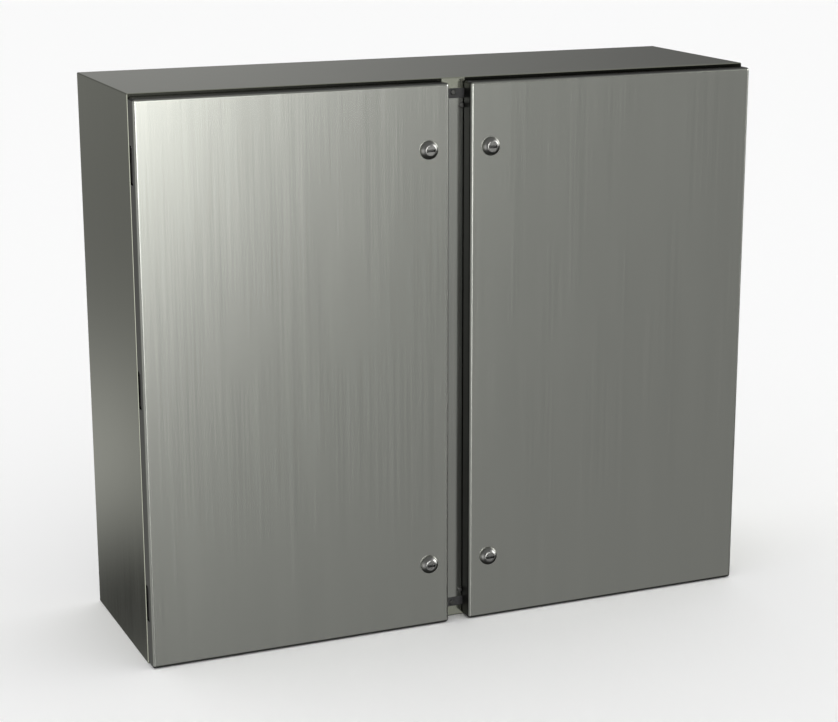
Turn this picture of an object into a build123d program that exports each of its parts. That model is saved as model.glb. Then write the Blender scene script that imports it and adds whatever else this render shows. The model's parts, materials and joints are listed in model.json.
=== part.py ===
"""Wall-mounted stainless steel switchboard cabinet with two surface-mounted doors.

Frame: +X to the right as seen from the front, +Y to the rear, +Z up. The origin is on the underside,
centred left to right and between the lock heads in front and the rear panel. Millimetres throughout.
"""

import os

from build123d import *

# ---------------------------------------------------------------- driving dimensions
BODY_WIDTH = 1066.8
BODY_HEIGHT = 914.4
BODY_DEPTH = 304.8
BODY_SHEET = 1.5
DOOR_SHEET = 2.0
BEND_RADIUS = 3.0
DOOR_BEND_RADIUS = 5.0  # outside of the door's folds
DOOR_INNER_RADIUS = 1.5  # inside of the same folds

DOOR_STANDOFF = 28.0  # door face ahead of the body's front flange
DOOR_REAR_GAP = 3.0  # rear edge of the door's folded sides to the front flange
DOOR_SIDE_INSET = 0.5
DOOR_TOP_INSET = 5.2
DOOR_BOTTOM_INSET = 1.0
DOOR_CENTRE_GAP = 36.4  # between the two doors
LOCK_HEAD_HEIGHT = 9.0

LIP_OUTSET = 16.0  # body side to the outer face of the raised sealing lip
LIP_HEIGHT = 17.0  # lip's edge ahead of the front flange
LIP_CORNER_RADIUS = 6.0

# ---------------------------------------------------------------- places worked out from them
REAR_Y = (BODY_DEPTH + DOOR_STANDOFF + LOCK_HEAD_HEIGHT) / 2
FLANGE_Y = REAR_Y - BODY_DEPTH
DOOR_FACE_Y = FLANGE_Y - DOOR_STANDOFF
DOOR_INNER_Y = DOOR_FACE_Y + DOOR_SHEET
HALF_WIDTH = BODY_WIDTH / 2
MID_HEIGHT = BODY_HEIGHT / 2
LIP_INSET = LIP_OUTSET + BODY_SHEET  # body side to the clear opening
SIDES = {"left": -1, "right": 1}


def facing_front(y):
    """Plane at depth y whose sketch runs along X and Z and whose normal points out of the front."""
    return Plane.XZ.offset(-y)


def save(part, name):
    """Labels a finished piece and writes it under its node name."""
    part.label = name
    export_step(part, f"parts/{name}.step")


os.makedirs("parts", exist_ok=True)

# ---------------------------------------------------------------- body shell
# Wrapper of 1.5 mm sheet, folded and seam welded. Its front edge turns in as a flange and then out
# again as a lip, so a drip channel runs round the doorway. The bottom has two cable entries.
GLAND_OPENING = (380.0, 150.0)
GLAND_CENTRE_X = 255.0
GLAND_CENTRE_Y = FLANGE_Y + 150.0
GLAND_CORNER_RADIUS = 6.0
POST_LIP_X = 34.5  # outer face of the centre post's lips, where the body's lips stop

with BuildPart() as body_shell:
    with BuildSketch(facing_front(REAR_Y)):
        with Locations((0, MID_HEIGHT)):
            Rectangle(BODY_WIDTH, BODY_HEIGHT)
    extrude(amount=BODY_DEPTH)
    front_edges = body_shell.faces().sort_by(Axis.Y)[0].edges()
    fillet(body_shell.edges().filter_by(Axis.Y) + front_edges, BEND_RADIUS)
    with BuildSketch(facing_front(REAR_Y)):
        with Locations((0, MID_HEIGHT)):
            RectangleRounded(
                BODY_WIDTH - 2 * BODY_SHEET,
                BODY_HEIGHT - 2 * BODY_SHEET,
                BEND_RADIUS - BODY_SHEET,
            )
    extrude(amount=BODY_DEPTH - BODY_SHEET, mode=Mode.SUBTRACT)
    with BuildSketch(facing_front(FLANGE_Y + BODY_SHEET)):
        with Locations((0, MID_HEIGHT)):
            RectangleRounded(
                BODY_WIDTH - 2 * LIP_INSET,
                BODY_HEIGHT - 2 * LIP_INSET,
                LIP_CORNER_RADIUS - BODY_SHEET,
            )
    extrude(amount=BODY_SHEET, mode=Mode.SUBTRACT)
    with BuildSketch(facing_front(FLANGE_Y)):
        with Locations((0, MID_HEIGHT)):
            RectangleRounded(
                BODY_WIDTH - 2 * LIP_OUTSET, BODY_HEIGHT - 2 * LIP_OUTSET, LIP_CORNER_RADIUS
            )
            RectangleRounded(
                BODY_WIDTH - 2 * LIP_INSET,
                BODY_HEIGHT - 2 * LIP_INSET,
                LIP_CORNER_RADIUS - BODY_SHEET,
                mode=Mode.SUBTRACT,
            )
            Rectangle(2 * POST_LIP_X, BODY_HEIGHT, mode=Mode.SUBTRACT)
    extrude(amount=LIP_HEIGHT)
    with BuildSketch(Plane.XY):
        with Locations((-GLAND_CENTRE_X, GLAND_CENTRE_Y), (GLAND_CENTRE_X, GLAND_CENTRE_Y)):
            RectangleRounded(*GLAND_OPENING, GLAND_CORNER_RADIUS)
    extrude(amount=BODY_SHEET, mode=Mode.SUBTRACT)
save(body_shell.part, "body_shell")

# ---------------------------------------------------------------- rear panel
# Flat sheet welded inside the wrapper's rear edge, with the four wall fixing holes near its corners.
WALL_HOLE_RADIUS = 4.5
WALL_HOLE_SPACING = (990.6, 838.2)

with BuildPart() as rear_panel:
    with BuildSketch(facing_front(REAR_Y)):
        with Locations((0, MID_HEIGHT)):
            RectangleRounded(
                BODY_WIDTH - 2 * BODY_SHEET,
                BODY_HEIGHT - 2 * BODY_SHEET,
                BEND_RADIUS - BODY_SHEET,
            )
            with GridLocations(*WALL_HOLE_SPACING, 2, 2):
                Circle(WALL_HOLE_RADIUS, mode=Mode.SUBTRACT)
    extrude(amount=BODY_SHEET)
save(rear_panel.part, "rear_panel")

# ---------------------------------------------------------------- centre post
# Removable U channel between the doors. Its two lips carry on the body's lips, and its floor lies
# level with the front flange and stops short of it at both ends, where a rubber strip seals it.
POST_FLOOR_END = 33.5  # underside of the body to the end of the floor, and the same at the top
POST_SCREW_X = 14.0
POST_SCREW_RADIUS = 2.5
POST_SCREW_END = 45.0  # body's edge to the screws through the floor
SEAL_SCREW_END = 24.0  # body's edge to the screw through the rubber strip
POST_HOLE_CLEARANCE = 0.2

with BuildPart() as centre_post:
    with BuildSketch(facing_front(FLANGE_Y + BODY_SHEET)):
        with Locations((0, MID_HEIGHT)):
            Rectangle(2 * POST_LIP_X, BODY_HEIGHT - 2 * POST_FLOOR_END)
    extrude(amount=BODY_SHEET)
    with BuildSketch(facing_front(FLANGE_Y)):
        for side in SIDES.values():
            with Locations((side * (POST_LIP_X - BODY_SHEET / 2), MID_HEIGHT)):
                Rectangle(BODY_SHEET, BODY_HEIGHT - 2 * LIP_OUTSET)
    extrude(amount=LIP_HEIGHT)
    with BuildSketch(facing_front(FLANGE_Y + BODY_SHEET)):
        with Locations((0, MID_HEIGHT)):
            with GridLocations(2 * POST_SCREW_X, BODY_HEIGHT - 2 * POST_SCREW_END, 2, 2):
                Circle(POST_SCREW_RADIUS + POST_HOLE_CLEARANCE)
    extrude(amount=BODY_SHEET, mode=Mode.SUBTRACT)
save(centre_post.part, "centre_post")

# Folded channel welded up the back of the post to stiffen it, between the ends' brackets.
STIFFENER_WIDTH = 24.0
STIFFENER_DEPTH = 25.0
STIFFENER_SHEET = 2.0
STIFFENER_END = 82.0
STIFFENER_CORNER = 0.4

with BuildPart() as post_stiffener:
    with BuildSketch(Plane.XY.offset(STIFFENER_END)):
        with Locations((0, FLANGE_Y + BODY_SHEET + STIFFENER_DEPTH / 2)):
            RectangleRounded(STIFFENER_WIDTH, STIFFENER_DEPTH, STIFFENER_CORNER)
        with Locations((0, FLANGE_Y + BODY_SHEET + (STIFFENER_DEPTH - STIFFENER_SHEET) / 2)):
            Rectangle(
                STIFFENER_WIDTH - 2 * STIFFENER_SHEET,
                STIFFENER_DEPTH - STIFFENER_SHEET,
                mode=Mode.SUBTRACT,
            )
    extrude(amount=BODY_HEIGHT - 2 * STIFFENER_END)
save(post_stiffener.part, "post_stiffener")

# Angle brackets welded inside the body's top and bottom, which the post is screwed to. Each has a
# rubber strip in the space between the body's flange and the post's floor.
BRACKET_WIDTH = 56.0
BRACKET_SHEET = 3.0
BRACKET_LEG = 66.0
BRACKET_FOOT = 40.0
SEAL_WIDTH = 65.6
SEAL_THICKNESS = 1.2
SEAL_END_GAP = 0.1
CUTTER_LENGTH = 6.0  # long enough to pass through the bracket or the strip
BRACKET_FRONT_Y = FLANGE_Y + BODY_SHEET

for end in ("upper", "lower"):
    plane = Plane.XY if end == "lower" else Plane.XY.offset(BODY_HEIGHT).rotated((0, 180, 0))
    with BuildPart(plane) as post_bracket:
        with Locations((0, BRACKET_FRONT_Y, BODY_SHEET)):
            Box(
                BRACKET_WIDTH,
                BRACKET_SHEET,
                BRACKET_LEG,
                align=(Align.CENTER, Align.MIN, Align.MIN),
            )
            Box(
                BRACKET_WIDTH,
                BRACKET_FOOT,
                BRACKET_SHEET,
                align=(Align.CENTER, Align.MIN, Align.MIN),
            )
        with Locations((0, BRACKET_FRONT_Y, 0)):
            with Locations(
                Location((-POST_SCREW_X, 0, POST_SCREW_END), (90, 0, 0)),
                Location((POST_SCREW_X, 0, POST_SCREW_END), (90, 0, 0)),
                Location((0, 0, SEAL_SCREW_END), (90, 0, 0)),
            ):
                Cylinder(
                    POST_SCREW_RADIUS + POST_HOLE_CLEARANCE, CUTTER_LENGTH, mode=Mode.SUBTRACT
                )
    save(post_bracket.part, f"post_bracket_{end}")

    with BuildPart(plane) as post_seal:
        with Locations((0, BRACKET_FRONT_Y, LIP_INSET + SEAL_END_GAP)):
            Box(
                SEAL_WIDTH,
                SEAL_THICKNESS,
                POST_FLOOR_END - LIP_INSET - 2 * SEAL_END_GAP,
                align=(Align.CENTER, Align.MAX, Align.MIN),
            )
        with Locations(Location((0, BRACKET_FRONT_Y, SEAL_SCREW_END), (90, 0, 0))):
            Cylinder(
                POST_SCREW_RADIUS + POST_HOLE_CLEARANCE, CUTTER_LENGTH, mode=Mode.SUBTRACT
            )
    save(post_seal.part, f"post_seal_{end}")

# Pan-head screws that hold the post and its rubber strips to the brackets.
SCREW_HEAD_RADIUS = 4.5
SCREW_HEAD_HEIGHT = 2.4
SCREW_HEAD_ROUNDING = 1.2
SCREW_LENGTH = 9.0
screw_spots = [
    (side * POST_SCREW_X, FLANGE_Y, z)
    for side in SIDES.values()
    for z in (POST_SCREW_END, BODY_HEIGHT - POST_SCREW_END)
] + [
    (0, BRACKET_FRONT_Y - SEAL_THICKNESS, z)
    for z in (SEAL_SCREW_END, BODY_HEIGHT - SEAL_SCREW_END)
]

with BuildPart() as post_screws:
    for x, y, z in screw_spots:
        with BuildSketch(facing_front(y)):
            with Locations((x, z)):
                Circle(SCREW_HEAD_RADIUS)
        extrude(amount=SCREW_HEAD_HEIGHT)
        with BuildSketch(facing_front(y)):
            with Locations((x, z)):
                Circle(POST_SCREW_RADIUS)
        extrude(amount=-SCREW_LENGTH)
    head_rims = post_screws.edges().filter_by(GeomType.CIRCLE).group_by(SortBy.RADIUS)[-1]
    front_rims = head_rims.filter_by(lambda rim: rim.center().Y < FLANGE_Y - SCREW_HEAD_ROUNDING)
    fillet(front_rims, SCREW_HEAD_ROUNDING)
save(post_screws.part, "post_screws")

# ---------------------------------------------------------------- mounting plate
# Galvanised equipment plate with its long edges folded back, hung on collar studs welded to the rear
# panel and held by flange nuts.
PLATE_SIZE = (965.0, 838.2)
PLATE_SHEET = 2.5
PLATE_FOLD = 12.0
PLATE_STANDOFF = 20.0
PLATE_FRONT_Y = REAR_Y - BODY_SHEET - PLATE_STANDOFF - PLATE_SHEET
PLATE_CORNER_RADIUS = 8.0
STUD_GRID = (440.0, 768.0)
STUD_RADIUS = 4.0
STUD_LENGTH = 34.0
STUD_COLLAR_RADIUS = 8.0
STUD_CHAMFER = 0.8
STUD_HOLE_RADIUS = 5.0
NUT_ACROSS_FLATS = 13.0
NUT_FLANGE_RADIUS = 8.9
NUT_FLANGE_HEIGHT = 1.6
NUT_HEIGHT = 8.0
NUT_BORE_RADIUS = 4.1

with BuildPart() as mounting_plate:
    with BuildSketch(facing_front(PLATE_FRONT_Y + PLATE_SHEET)):
        with Locations((0, MID_HEIGHT)):
            RectangleRounded(*PLATE_SIZE, PLATE_CORNER_RADIUS)
            with GridLocations(*STUD_GRID, 3, 2):
                Circle(STUD_HOLE_RADIUS, mode=Mode.SUBTRACT)
    extrude(amount=PLATE_SHEET)
    with BuildSketch(facing_front(PLATE_FRONT_Y + PLATE_SHEET + PLATE_FOLD)):
        for side in SIDES.values():
            with Locations((side * (PLATE_SIZE[0] - PLATE_SHEET) / 2, MID_HEIGHT)):
                Rectangle(PLATE_SHEET, PLATE_SIZE[1] - 2 * PLATE_CORNER_RADIUS)
    extrude(amount=PLATE_FOLD)
save(mounting_plate.part, "mounting_plate")

with BuildPart() as plate_studs:
    with BuildSketch(facing_front(REAR_Y - BODY_SHEET)):
        with Locations((0, MID_HEIGHT)):
            with GridLocations(*STUD_GRID, 3, 2):
                Circle(STUD_COLLAR_RADIUS)
    extrude(amount=PLATE_STANDOFF)
    with BuildSketch(facing_front(REAR_Y - BODY_SHEET)):
        with Locations((0, MID_HEIGHT)):
            with GridLocations(*STUD_GRID, 3, 2):
                Circle(STUD_RADIUS)
    extrude(amount=STUD_LENGTH)
    chamfer(plate_studs.faces().group_by(Axis.Y)[0].edges(), STUD_CHAMFER)
save(plate_studs.part, "plate_studs")

with BuildPart() as plate_nuts:
    with BuildSketch(facing_front(PLATE_FRONT_Y)):
        with Locations((0, MID_HEIGHT)):
            with GridLocations(*STUD_GRID, 3, 2):
                Circle(NUT_FLANGE_RADIUS)
    extrude(amount=NUT_FLANGE_HEIGHT)
    with BuildSketch(facing_front(PLATE_FRONT_Y)):
        with Locations((0, MID_HEIGHT)):
            with GridLocations(*STUD_GRID, 3, 2):
                RegularPolygon(NUT_ACROSS_FLATS / 2, 6, major_radius=False)
    extrude(amount=NUT_HEIGHT)
    with BuildSketch(facing_front(PLATE_FRONT_Y)):
        with Locations((0, MID_HEIGHT)):
            with GridLocations(*STUD_GRID, 3, 2):
                Circle(NUT_BORE_RADIUS)
    extrude(amount=NUT_HEIGHT, mode=Mode.SUBTRACT)
save(plate_nuts.part, "plate_nuts")

# ---------------------------------------------------------------- gland plates
# A plate on a rubber gasket closes each cable entry in the bottom from inside, held by screws.
GLAND_PLATE = (424.0, 194.0)
GLAND_PLATE_SHEET = 2.0
GLAND_GASKET_HEIGHT = 3.0
GLAND_SCREW_GRID = (134.0, 172.0)
GLAND_SCREW_RADIUS = 3.0
GLAND_SCREW_HEAD = (5.5, 3.5)
GLAND_HOLE_RADIUS = 3.2
GLAND_PLATE_Z = BODY_SHEET + GLAND_GASKET_HEIGHT

for name, side in SIDES.items():
    centre = (side * GLAND_CENTRE_X, GLAND_CENTRE_Y)
    with BuildPart() as gland_gasket:
        with BuildSketch(Plane.XY.offset(BODY_SHEET)):
            with Locations(centre):
                RectangleRounded(*GLAND_PLATE, GLAND_CORNER_RADIUS)
                RectangleRounded(*GLAND_OPENING, GLAND_CORNER_RADIUS, mode=Mode.SUBTRACT)
                with GridLocations(*GLAND_SCREW_GRID, 4, 2):
                    Circle(GLAND_HOLE_RADIUS, mode=Mode.SUBTRACT)
        extrude(amount=GLAND_GASKET_HEIGHT)
    save(gland_gasket.part, f"gland_gasket_{name}")

    with BuildPart() as gland_plate:
        with BuildSketch(Plane.XY.offset(GLAND_PLATE_Z)):
            with Locations(centre):
                RectangleRounded(*GLAND_PLATE, GLAND_CORNER_RADIUS)
                with GridLocations(*GLAND_SCREW_GRID, 4, 2):
                    Circle(GLAND_HOLE_RADIUS, mode=Mode.SUBTRACT)
        extrude(amount=GLAND_PLATE_SHEET)
    save(gland_plate.part, f"gland_plate_{name}")

with BuildPart() as gland_screws:
    for side in SIDES.values():
        with BuildSketch(Plane.XY.offset(GLAND_PLATE_Z + GLAND_PLATE_SHEET)):
            with Locations((side * GLAND_CENTRE_X, GLAND_CENTRE_Y)):
                with GridLocations(*GLAND_SCREW_GRID, 4, 2):
                    RegularPolygon(GLAND_SCREW_HEAD[0], 6, major_radius=False)
        extrude(amount=GLAND_SCREW_HEAD[1])
        with BuildSketch(Plane.XY.offset(BODY_SHEET)):
            with Locations((side * GLAND_CENTRE_X, GLAND_CENTRE_Y)):
                with GridLocations(*GLAND_SCREW_GRID, 4, 2):
                    Circle(GLAND_SCREW_RADIUS)
        extrude(amount=GLAND_PLATE_Z + GLAND_PLATE_SHEET - BODY_SHEET)
save(gland_screws.part, "gland_screws")

# ---------------------------------------------------------------- earth studs
# Welded M8 stud for the protective conductor, low on the body's left wall.
EARTH_STUD_RADIUS = 4.0
EARTH_STUD_LENGTH = 25.0
EARTH_STUD_SPOT = (FLANGE_Y + 90.0, 75.0)

with BuildPart() as body_earth_stud:
    with BuildSketch(Plane.YZ.offset(-HALF_WIDTH + BODY_SHEET)):
        with Locations(EARTH_STUD_SPOT):
            Circle(EARTH_STUD_RADIUS)
    extrude(amount=EARTH_STUD_LENGTH)
    chamfer(body_earth_stud.faces().sort_by(Axis.X)[-1].edges(), STUD_CHAMFER)
save(body_earth_stud.part, "body_earth_stud")

# ---------------------------------------------------------------- doors
# Each door is a folded pan of 2 mm sheet. The fold beside the hinges is cut away where they stand.
DOOR_WIDTH = HALF_WIDTH - DOOR_SIDE_INSET - DOOR_CENTRE_GAP / 2
DOOR_HEIGHT = BODY_HEIGHT - DOOR_TOP_INSET - DOOR_BOTTOM_INSET
DOOR_MID_X = DOOR_CENTRE_GAP / 2 + DOOR_WIDTH / 2
DOOR_MID_Z = DOOR_BOTTOM_INSET + DOOR_HEIGHT / 2
DOOR_DEPTH = DOOR_STANDOFF - DOOR_REAR_GAP

HINGE_INSET = 5.0  # body side to the hinge pin
HINGE_Y = FLANGE_Y - 10.5
HINGE_X = HALF_WIDTH - HINGE_INSET
HINGE_HEIGHTS = {"upper": 807.4, "middle": MID_HEIGHT, "lower": 107.0}
HINGE_LENGTH = 54.0
NOTCH_LENGTH = 60.0
NOTCH_WIDTH = 8.0  # across the fold, which it passes right through
NOTCH_FRONT_Y = FLANGE_Y - 17.0

LOCK_X = 54.0
LOCK_HEIGHTS = {"upper": MID_HEIGHT + 347.6, "lower": MID_HEIGHT - 347.6}
BARREL_RADIUS = 10.0
BARREL_HOLE_RADIUS = 10.15

# Foamed gasket, a ring on the door's inner face that the lip presses against.
GASKET_WIDTH = 10.0
GASKET_CLEARANCE = 0.3
GASKET_INNER_RADIUS = 1.0
GASKET_HEIGHT = DOOR_STANDOFF - DOOR_SHEET - LIP_HEIGHT - GASKET_CLEARANCE
LIP_CENTRE = LIP_OUTSET + BODY_SHEET / 2
SEAL_LEFT = POST_LIP_X - BODY_SHEET / 2  # lip line beside the post
SEAL_RUN_WIDTH = HALF_WIDTH - LIP_CENTRE - SEAL_LEFT
SEAL_RUN_HEIGHT = BODY_HEIGHT - 2 * LIP_CENTRE
SEAL_MID_X = (HALF_WIDTH - LIP_CENTRE + SEAL_LEFT) / 2

# Perforated rails inside each door, for trunking and to stiffen the sheet.
RAIL_X = (96.0, 462.0)
RAIL_WIDTH = 26.0
RAIL_DEPTH = 12.0
RAIL_SHEET = 1.5
RAIL_LENGTH = 800.0
RAIL_SLOT = (12.0, 6.0)
RAIL_SLOT_PITCH = 25.0
RAIL_SLOT_COUNT = 30

DOOR_STUD_X = 430.0
DOOR_STUD_Z = 60.0
DOOR_STUD_RADIUS = 3.0
DOOR_STUD_LENGTH = 18.0
DOOR_STUD_CHAMFER = 0.6

for name, side in SIDES.items():
    with BuildPart() as door:
        with BuildSketch(facing_front(DOOR_FACE_Y + DOOR_DEPTH)):
            with Locations((side * DOOR_MID_X, DOOR_MID_Z)):
                Rectangle(DOOR_WIDTH, DOOR_HEIGHT)
        extrude(amount=DOOR_DEPTH)
        folds = door.edges().filter_by(Axis.Y) + door.faces().sort_by(Axis.Y)[0].edges()
        fillet(folds, DOOR_BEND_RADIUS)
        with BuildSketch(facing_front(DOOR_FACE_Y + DOOR_DEPTH)):
            with Locations((side * DOOR_MID_X, DOOR_MID_Z)):
                RectangleRounded(
                    DOOR_WIDTH - 2 * DOOR_SHEET,
                    DOOR_HEIGHT - 2 * DOOR_SHEET,
                    DOOR_BEND_RADIUS - DOOR_SHEET,
                )
        extrude(amount=DOOR_DEPTH - DOOR_SHEET, mode=Mode.SUBTRACT)
        inner_face = door.faces().filter_by(Axis.Y).sort_by(Axis.Y)[1]
        fillet(inner_face.edges(), DOOR_INNER_RADIUS)
        for z in HINGE_HEIGHTS.values():
            with Locations((side * HALF_WIDTH, NOTCH_FRONT_Y, z)):
                Box(
                    NOTCH_WIDTH,
                    DOOR_DEPTH,
                    NOTCH_LENGTH,
                    align=(Align.CENTER, Align.MIN, Align.CENTER),
                    mode=Mode.SUBTRACT,
                )
        with BuildSketch(facing_front(DOOR_INNER_Y)):
            with Locations(*[(side * LOCK_X, z) for z in LOCK_HEIGHTS.values()]):
                Circle(BARREL_HOLE_RADIUS)
        extrude(amount=DOOR_SHEET, mode=Mode.SUBTRACT)
    save(door.part, f"{name}_door")

    with BuildPart() as door_gasket:
        with BuildSketch(facing_front(DOOR_INNER_Y + GASKET_HEIGHT)):
            with Locations((side * SEAL_MID_X, MID_HEIGHT)):
                RectangleRounded(
                    SEAL_RUN_WIDTH + GASKET_WIDTH,
                    SEAL_RUN_HEIGHT + GASKET_WIDTH,
                    LIP_CORNER_RADIUS + GASKET_WIDTH / 2,
                )
                RectangleRounded(
                    SEAL_RUN_WIDTH - GASKET_WIDTH,
                    SEAL_RUN_HEIGHT - GASKET_WIDTH,
                    GASKET_INNER_RADIUS,
                    mode=Mode.SUBTRACT,
                )
        extrude(amount=GASKET_HEIGHT)
    save(door_gasket.part, f"{name}_door_gasket")

    with BuildPart() as door_rails:
        for rail_x in RAIL_X:
            with BuildSketch(Plane.XY.offset(MID_HEIGHT - RAIL_LENGTH / 2)):
                with Locations((side * rail_x, DOOR_INNER_Y)):
                    Rectangle(RAIL_WIDTH, RAIL_DEPTH, align=(Align.CENTER, Align.MIN))
                    Rectangle(
                        RAIL_WIDTH - 2 * RAIL_SHEET,
                        RAIL_DEPTH - RAIL_SHEET,
                        align=(Align.CENTER, Align.MIN),
                        mode=Mode.SUBTRACT,
                    )
            extrude(amount=RAIL_LENGTH)
        with BuildSketch(facing_front(DOOR_INNER_Y + RAIL_DEPTH)):
            for rail_x in RAIL_X:
                with Locations((side * rail_x, MID_HEIGHT)):
                    with GridLocations(0, RAIL_SLOT_PITCH, 1, RAIL_SLOT_COUNT):
                        SlotOverall(*RAIL_SLOT)
        extrude(amount=RAIL_SHEET, mode=Mode.SUBTRACT)
    save(door_rails.part, f"{name}_door_rails")

    with BuildPart() as door_earth_stud:
        with BuildSketch(facing_front(DOOR_INNER_Y)):
            with Locations((side * DOOR_STUD_X, DOOR_STUD_Z)):
                Circle(DOOR_STUD_RADIUS)
        extrude(amount=-DOOR_STUD_LENGTH)
        chamfer(door_earth_stud.faces().sort_by(Axis.Y)[-1].edges(), DOOR_STUD_CHAMFER)
    save(door_earth_stud.part, f"{name}_door_earth_stud")

# ---------------------------------------------------------------- hinges
# Concealed three-knuckle hinges in the drip channel. The frame leaf stands on the front flange and
# carries the outer knuckles, the door leaf is welded inside the pan, and a loose pin joins them.
KNUCKLE_RADIUS = 4.0
PIN_RADIUS = 2.5
PIN_BORE_RADIUS = 2.55
PIN_HEAD = (3.6, 2.0)
MIDDLE_KNUCKLE = 26.0
KNUCKLE_GAP = 0.4
FRAME_LEAF_SPAN = (3.0, 15.2)  # from the body side
FRAME_LEAF_SHEET = 2.5
FRAME_WEB_SPAN = (3.6, 8.6)
DOOR_LEAF_SPAN = (4.1, 11.4)
DOOR_LEAF_SHEET = 2.5
DOOR_ARM_SPAN = (4.1, 8.4)
OUTER_KNUCKLE = (HINGE_LENGTH - MIDDLE_KNUCKLE) / 2 - KNUCKLE_GAP


def across(side, span):
    """Centre and width along X of a stretch measured in from one side of the body."""
    return side * (HALF_WIDTH - sum(span) / 2), span[1] - span[0]


for name, side in SIDES.items():
    for level, height in HINGE_HEIGHTS.items():
        outer_centres = [
            height + end * (MIDDLE_KNUCKLE + OUTER_KNUCKLE + 2 * KNUCKLE_GAP) / 2 for end in (-1, 1)
        ]
        with BuildPart() as frame_leaf:
            centre_x, width = across(side, FRAME_LEAF_SPAN)
            with Locations((centre_x, FLANGE_Y, height)):
                Box(
                    width,
                    FRAME_LEAF_SHEET,
                    HINGE_LENGTH,
                    align=(Align.CENTER, Align.MAX, Align.CENTER),
                )
            centre_x, width = across(side, FRAME_WEB_SPAN)
            for z in outer_centres:
                with Locations((centre_x, FLANGE_Y, z)):
                    Box(
                        width,
                        FLANGE_Y - HINGE_Y,
                        OUTER_KNUCKLE,
                        align=(Align.CENTER, Align.MAX, Align.CENTER),
                    )
                with Locations((side * HINGE_X, HINGE_Y, z)):
                    Cylinder(KNUCKLE_RADIUS, OUTER_KNUCKLE)
            with Locations((side * HINGE_X, HINGE_Y, height)):
                Cylinder(PIN_BORE_RADIUS, HINGE_LENGTH, mode=Mode.SUBTRACT)
        save(frame_leaf.part, f"{name}_hinge_frame_leaf_{level}")

        with BuildPart() as door_leaf:
            centre_x, width = across(side, DOOR_LEAF_SPAN)
            with Locations((centre_x, DOOR_INNER_Y, height)):
                Box(
                    width,
                    DOOR_LEAF_SHEET,
                    HINGE_LENGTH,
                    align=(Align.CENTER, Align.MIN, Align.CENTER),
                )
            centre_x, width = across(side, DOOR_ARM_SPAN)
            with Locations((centre_x, DOOR_INNER_Y, height)):
                Box(
                    width,
                    HINGE_Y - DOOR_INNER_Y,
                    MIDDLE_KNUCKLE,
                    align=(Align.CENTER, Align.MIN, Align.CENTER),
                )
            with Locations((side * HINGE_X, HINGE_Y, height)):
                Cylinder(KNUCKLE_RADIUS, MIDDLE_KNUCKLE)
                Cylinder(PIN_BORE_RADIUS, MIDDLE_KNUCKLE, mode=Mode.SUBTRACT)
        save(door_leaf.part, f"{name}_hinge_door_leaf_{level}")

    with BuildPart() as hinge_pins:
        for height in HINGE_HEIGHTS.values():
            with BuildSketch(Plane.XY.offset(height - HINGE_LENGTH / 2)):
                with Locations((side * HINGE_X, HINGE_Y)):
                    Circle(PIN_RADIUS)
            extrude(amount=HINGE_LENGTH)
            with BuildSketch(Plane.XY.offset(height + HINGE_LENGTH / 2)):
                with Locations((side * HINGE_X, HINGE_Y)):
                    Circle(PIN_HEAD[0])
            extrude(amount=PIN_HEAD[1])
    save(hinge_pins.part, f"{name}_hinge_pins")

# ---------------------------------------------------------------- quarter-turn locks
# A domed housing passes through the door and is clamped by a nut on a rubber washer. The core turns
# in it by the slot in its face and carries the cam, which swings behind the post's floor to latch.
HEAD_RADIUS = 15.0
HEAD_DOME_RADIUS = 7.5
RECESS_RADIUS = 7.5
RECESS_FLOOR = 2.0
BARREL_LENGTH = 25.0
CORE_RADIUS = 6.0
RUNNING_CLEARANCE = 0.1
CORE_FACE_RADIUS = 7.4
CORE_FACE_EDGE = 0.6
DRIVER_SLOT = (12.0, 3.6)  # length and width
DRIVER_SLOT_DEPTH = 4.0
CORE_SQUARE = 8.0
CAM_SHEET = 3.0
CAM_DEPTH = 31.0  # door face to the cam's front
CAM_REACH = 34.0
CAM_TAIL = 10.0
CAM_WIDTH = 16.0
CAM_END_RADIUS = 7.5
CAM_SCREW_RADIUS = 2.5
CAM_SCREW_LENGTH = 10.0
CAM_SCREW_HEAD = (4.0, 4.0)
CAM_SCREW_FLANGE = (6.4, 1.0)
LOCK_WASHER = (13.0, 1.5)
LOCK_NUT = (24.0, 5.0)

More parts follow.
